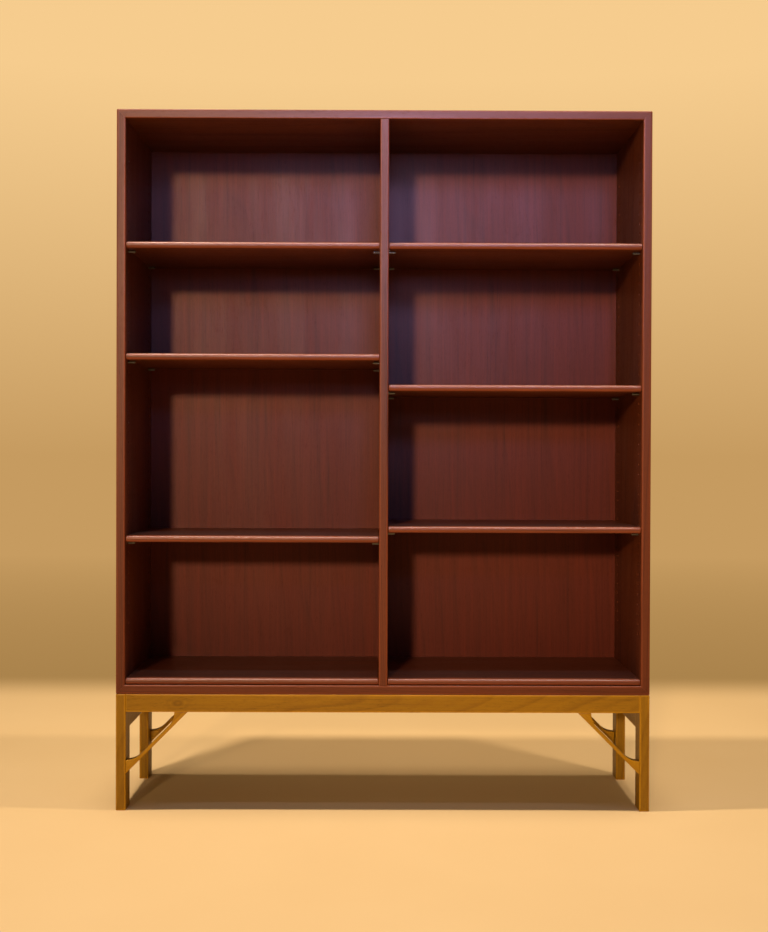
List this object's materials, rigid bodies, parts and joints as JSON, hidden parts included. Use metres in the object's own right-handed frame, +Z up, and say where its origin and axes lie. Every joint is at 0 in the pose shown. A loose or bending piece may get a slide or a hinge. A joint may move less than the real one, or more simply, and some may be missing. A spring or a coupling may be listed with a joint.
{
  "type": "bookcase with adjustable shelves",
  "caption": "Tall open bookcase with two columns of adjustable shelves on pegs, standing on a slender frame with legs and curved corner brackets.",
  "frame": {"origin": "on the floor, under the middle of the case", "axes": "+X to the right as seen from the front, +Y from the front to the back, +Z up"},
  "size_m": [1.08, 0.28, 1.416],
  "materials": {
    "teak_case": "satin oiled teak veneer with solid lippings",
    "teak_shelf": "satin oiled teak with a rounded nosing",
    "teak_back": "satin teak veneer, grain upright",
    "oak_base": "satin lacquered solid oak",
    "steel_peg": "nickel plated, worn",
    "steel_screw": "bright steel"
  },
  "bodies": {
    "bookcase": {"left_side": "teak_case", "right_side": "teak_case", "top_board": "teak_case", "bottom_board": "teak_case", "centre_divider": "teak_case", "back_panel": "teak_back", "front_rail": "oak_base", "front_left_leg": "oak_base", "front_left_bracket": "oak_base", "front_right_leg": "oak_base", "front_right_bracket": "oak_base", "back_rail": "oak_base", "back_left_leg": "oak_base", "back_left_bracket": "oak_base", "back_right_leg": "oak_base", "back_right_bracket": "oak_base", "left_rail": "oak_base", "right_rail": "oak_base", "base_screw_1": "steel_screw", "base_screw_2": "steel_screw", "base_screw_3": "steel_screw", "base_screw_4": "steel_screw", "base_screw_5": "steel_screw", "base_screw_6": "steel_screw"},
    "left_shelf_1": {"left_shelf_1": "teak_shelf"},
    "left_shelf_1_peg_front_left": {"left_shelf_1_peg_front_left": "steel_peg"},
    "left_shelf_1_peg_front_right": {"left_shelf_1_peg_front_right": "steel_peg"},
    "left_shelf_1_peg_back_left": {"left_shelf_1_peg_back_left": "steel_peg"},
    "left_shelf_1_peg_back_right": {"left_shelf_1_peg_back_right": "steel_peg"},
    "left_shelf_2": {"left_shelf_2": "teak_shelf"},
    "left_shelf_2_peg_front_left": {"left_shelf_2_peg_front_left": "steel_peg"},
    "left_shelf_2_peg_front_right": {"left_shelf_2_peg_front_right": "steel_peg"},
    "left_shelf_2_peg_back_left": {"left_shelf_2_peg_back_left": "steel_peg"},
    "left_shelf_2_peg_back_right": {"left_shelf_2_peg_back_right": "steel_peg"},
    "left_shelf_3": {"left_shelf_3": "teak_shelf"},
    "left_shelf_3_peg_front_left": {"left_shelf_3_peg_front_left": "steel_peg"},
    "left_shelf_3_peg_front_right": {"left_shelf_3_peg_front_right": "steel_peg"},
    "left_shelf_3_peg_back_left": {"left_shelf_3_peg_back_left": "steel_peg"},
    "left_shelf_3_peg_back_right": {"left_shelf_3_peg_back_right": "steel_peg"},
    "left_bottom_shelf": {"left_bottom_shelf": "teak_shelf"},
    "right_shelf_1": {"right_shelf_1": "teak_shelf"},
    "right_shelf_1_peg_front_left": {"right_shelf_1_peg_front_left": "steel_peg"},
    "right_shelf_1_peg_front_right": {"right_shelf_1_peg_front_right": "steel_peg"},
    "right_shelf_1_peg_back_left": {"right_shelf_1_peg_back_left": "steel_peg"},
    "right_shelf_1_peg_back_right": {"right_shelf_1_peg_back_right": "steel_peg"},
    "right_shelf_2": {"right_shelf_2": "teak_shelf"},
    "right_shelf_2_peg_front_left": {"right_shelf_2_peg_front_left": "steel_peg"},
    "right_shelf_2_peg_front_right": {"right_shelf_2_peg_front_right": "steel_peg"},
    "right_shelf_2_peg_back_left": {"right_shelf_2_peg_back_left": "steel_peg"},
    "right_shelf_2_peg_back_right": {"right_shelf_2_peg_back_right": "steel_peg"},
    "right_shelf_3": {"right_shelf_3": "teak_shelf"},
    "right_shelf_3_peg_front_left": {"right_shelf_3_peg_front_left": "steel_peg"},
    "right_shelf_3_peg_front_right": {"right_shelf_3_peg_front_right": "steel_peg"},
    "right_shelf_3_peg_back_left": {"right_shelf_3_peg_back_left": "steel_peg"},
    "right_shelf_3_peg_back_right": {"right_shelf_3_peg_back_right": "steel_peg"},
    "right_bottom_shelf": {"right_bottom_shelf": "teak_shelf"}
  },
  "joints": [
    {"name": "left_shelf_1_slide", "type": "slide", "parent": "bookcase", "child": "left_shelf_1", "axis": [0, -1, 0], "range_m": [0, 0.3]},
    {"name": "left_shelf_1_peg_front_left_slide", "type": "slide", "parent": "bookcase", "child": "left_shelf_1_peg_front_left", "axis": [1, 0, 0], "range_m": [0, 0.012]},
    {"name": "left_shelf_1_peg_front_right_slide", "type": "slide", "parent": "bookcase", "child": "left_shelf_1_peg_front_right", "axis": [-1, 0, 0], "range_m": [0, 0.012]},
    {"name": "left_shelf_1_peg_back_left_slide", "type": "slide", "parent": "bookcase", "child": "left_shelf_1_peg_back_left", "axis": [1, 0, 0], "range_m": [0, 0.012]},
    {"name": "left_shelf_1_peg_back_right_slide", "type": "slide", "parent": "bookcase", "child": "left_shelf_1_peg_back_right", "axis": [-1, 0, 0], "range_m": [0, 0.012]},
    {"name": "left_shelf_2_slide", "type": "slide", "parent": "bookcase", "child": "left_shelf_2", "axis": [0, -1, 0], "range_m": [0, 0.3]},
    {"name": "left_shelf_2_peg_front_left_slide", "type": "slide", "parent": "bookcase", "child": "left_shelf_2_peg_front_left", "axis": [1, 0, 0], "range_m": [0, 0.012]},
    {"name": "left_shelf_2_peg_front_right_slide", "type": "slide", "parent": "bookcase", "child": "left_shelf_2_peg_front_right", "axis": [-1, 0, 0], "range_m": [0, 0.012]},
    {"name": "left_shelf_2_peg_back_left_slide", "type": "slide", "parent": "bookcase", "child": "left_shelf_2_peg_back_left", "axis": [1, 0, 0], "range_m": [0, 0.012]},
    {"name": "left_shelf_2_peg_back_right_slide", "type": "slide", "parent": "bookcase", "child": "left_shelf_2_peg_back_right", "axis": [-1, 0, 0], "range_m": [0, 0.012]},
    {"name": "left_shelf_3_slide", "type": "slide", "parent": "bookcase", "child": "left_shelf_3", "axis": [0, -1, 0], "range_m": [0, 0.3]},
    {"name": "left_shelf_3_peg_front_left_slide", "type": "slide", "parent": "bookcase", "child": "left_shelf_3_peg_front_left", "axis": [1, 0, 0], "range_m": [0, 0.012]},
    {"name": "left_shelf_3_peg_front_right_slide", "type": "slide", "parent": "bookcase", "child": "left_shelf_3_peg_front_right", "axis": [-1, 0, 0], "range_m": [0, 0.012]},
    {"name": "left_shelf_3_peg_back_left_slide", "type": "slide", "parent": "bookcase", "child": "left_shelf_3_peg_back_left", "axis": [1, 0, 0], "range_m": [0, 0.012]},
    {"name": "left_shelf_3_peg_back_right_slide", "type": "slide", "parent": "bookcase", "child": "left_shelf_3_peg_back_right", "axis": [-1, 0, 0], "range_m": [0, 0.012]},
    {"name": "left_bottom_shelf_slide", "type": "slide", "parent": "bookcase", "child": "left_bottom_shelf", "axis": [0, -1, 0], "range_m": [0, 0.3]},
    {"name": "right_shelf_1_slide", "type": "slide", "parent": "bookcase", "child": "right_shelf_1", "axis": [0, -1, 0], "range_m": [0, 0.3]},
    {"name": "right_shelf_1_peg_front_left_slide", "type": "slide", "parent": "bookcase", "child": "right_shelf_1_peg_front_left", "axis": [1, 0, 0], "range_m": [0, 0.012]},
    {"name": "right_shelf_1_peg_front_right_slide", "type": "slide", "parent": "bookcase", "child": "right_shelf_1_peg_front_right", "axis": [-1, 0, 0], "range_m": [0, 0.012]},
    {"name": "right_shelf_1_peg_back_left_slide", "type": "slide", "parent": "bookcase", "child": "right_shelf_1_peg_back_left", "axis": [1, 0, 0], "range_m": [0, 0.012]},
    {"name": "right_shelf_1_peg_back_right_slide", "type": "slide", "parent": "bookcase", "child": "right_shelf_1_peg_back_right", "axis": [-1, 0, 0], "range_m": [0, 0.012]},
    {"name": "right_shelf_2_slide", "type": "slide", "parent": "bookcase", "child": "right_shelf_2", "axis": [0, -1, 0], "range_m": [0, 0.3]},
    {"name": "right_shelf_2_peg_front_left_slide", "type": "slide", "parent": "bookcase", "child": "right_shelf_2_peg_front_left", "axis": [1, 0, 0], "range_m": [0, 0.012]},
    {"name": "right_shelf_2_peg_front_right_slide", "type": "slide", "parent": "bookcase", "child": "right_shelf_2_peg_front_right", "axis": [-1, 0, 0], "range_m": [0, 0.012]},
    {"name": "right_shelf_2_peg_back_left_slide", "type": "slide", "parent": "bookcase", "child": "right_shelf_2_peg_back_left", "axis": [1, 0, 0], "range_m": [0, 0.012]},
    {"name": "right_shelf_2_peg_back_right_slide", "type": "slide", "parent": "bookcase", "child": "right_shelf_2_peg_back_right", "axis": [-1, 0, 0], "range_m": [0, 0.012]},
    {"name": "right_shelf_3_slide", "type": "slide", "parent": "bookcase", "child": "right_shelf_3", "axis": [0, -1, 0], "range_m": [0, 0.3]},
    {"name": "right_shelf_3_peg_front_left_slide", "type": "slide", "parent": "bookcase", "child": "right_shelf_3_peg_front_left", "axis": [1, 0, 0], "range_m": [0, 0.012]},
    {"name": "right_shelf_3_peg_front_right_slide", "type": "slide", "parent": "bookcase", "child": "right_shelf_3_peg_front_right", "axis": [-1, 0, 0], "range_m": [0, 0.012]},
    {"name": "right_shelf_3_peg_back_left_slide", "type": "slide", "parent": "bookcase", "child": "right_shelf_3_peg_back_left", "axis": [1, 0, 0], "range_m": [0, 0.012]},
    {"name": "right_shelf_3_peg_back_right_slide", "type": "slide", "parent": "bookcase", "child": "right_shelf_3_peg_back_right", "axis": [-1, 0, 0], "range_m": [0, 0.012]},
    {"name": "right_bottom_shelf_slide", "type": "slide", "parent": "bookcase", "child": "right_bottom_shelf", "axis": [0, -1, 0], "range_m": [0, 0.3]}
  ]
}
